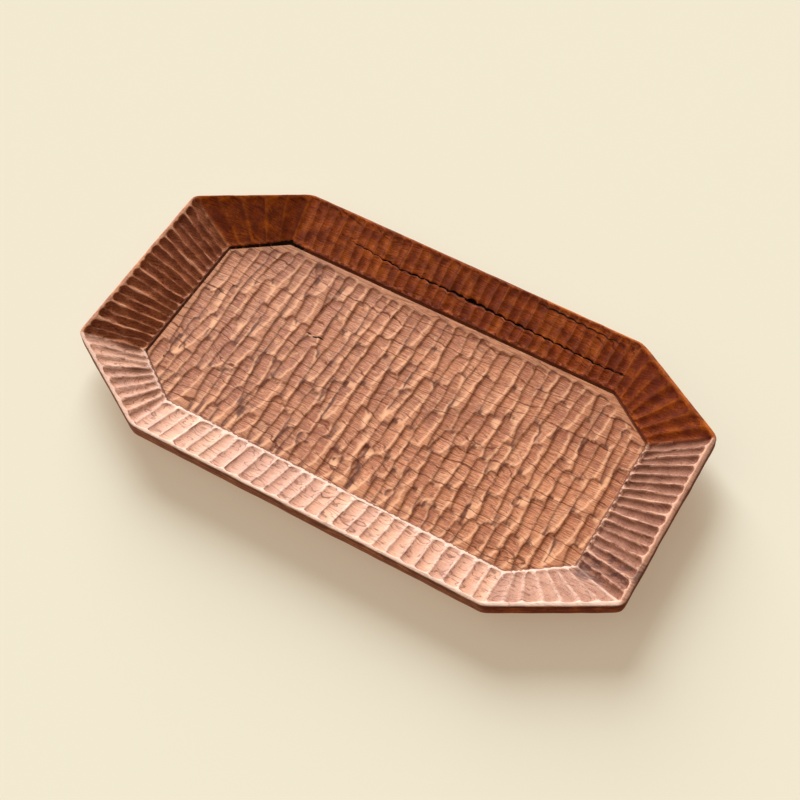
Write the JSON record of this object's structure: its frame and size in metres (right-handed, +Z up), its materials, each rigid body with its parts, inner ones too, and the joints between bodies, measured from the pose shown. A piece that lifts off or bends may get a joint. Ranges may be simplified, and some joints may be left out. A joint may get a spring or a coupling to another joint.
{
  "type": "carved wooden serving tray",
  "caption": "Shallow octagonal serving tray carved from one board of reddish hardwood, with a gouge-textured floor and fluted sloping walls.",
  "frame": {"origin": "middle of the flat underside that the tray stands on", "axes": "+X along the tray's length and the grain, +Y across it towards the wall with the long crack, +Z up out of the hollow"},
  "size_m": [0.36, 0.198, 0.024],
  "materials": {
    "carved_wood": "oiled reddish hardwood, hand carved, satin, paler on the worn ridges and darker in the hollows"
  },
  "bodies": {
    "root": {"carved_tray": "carved_wood"}
  },
  "joints": []
}
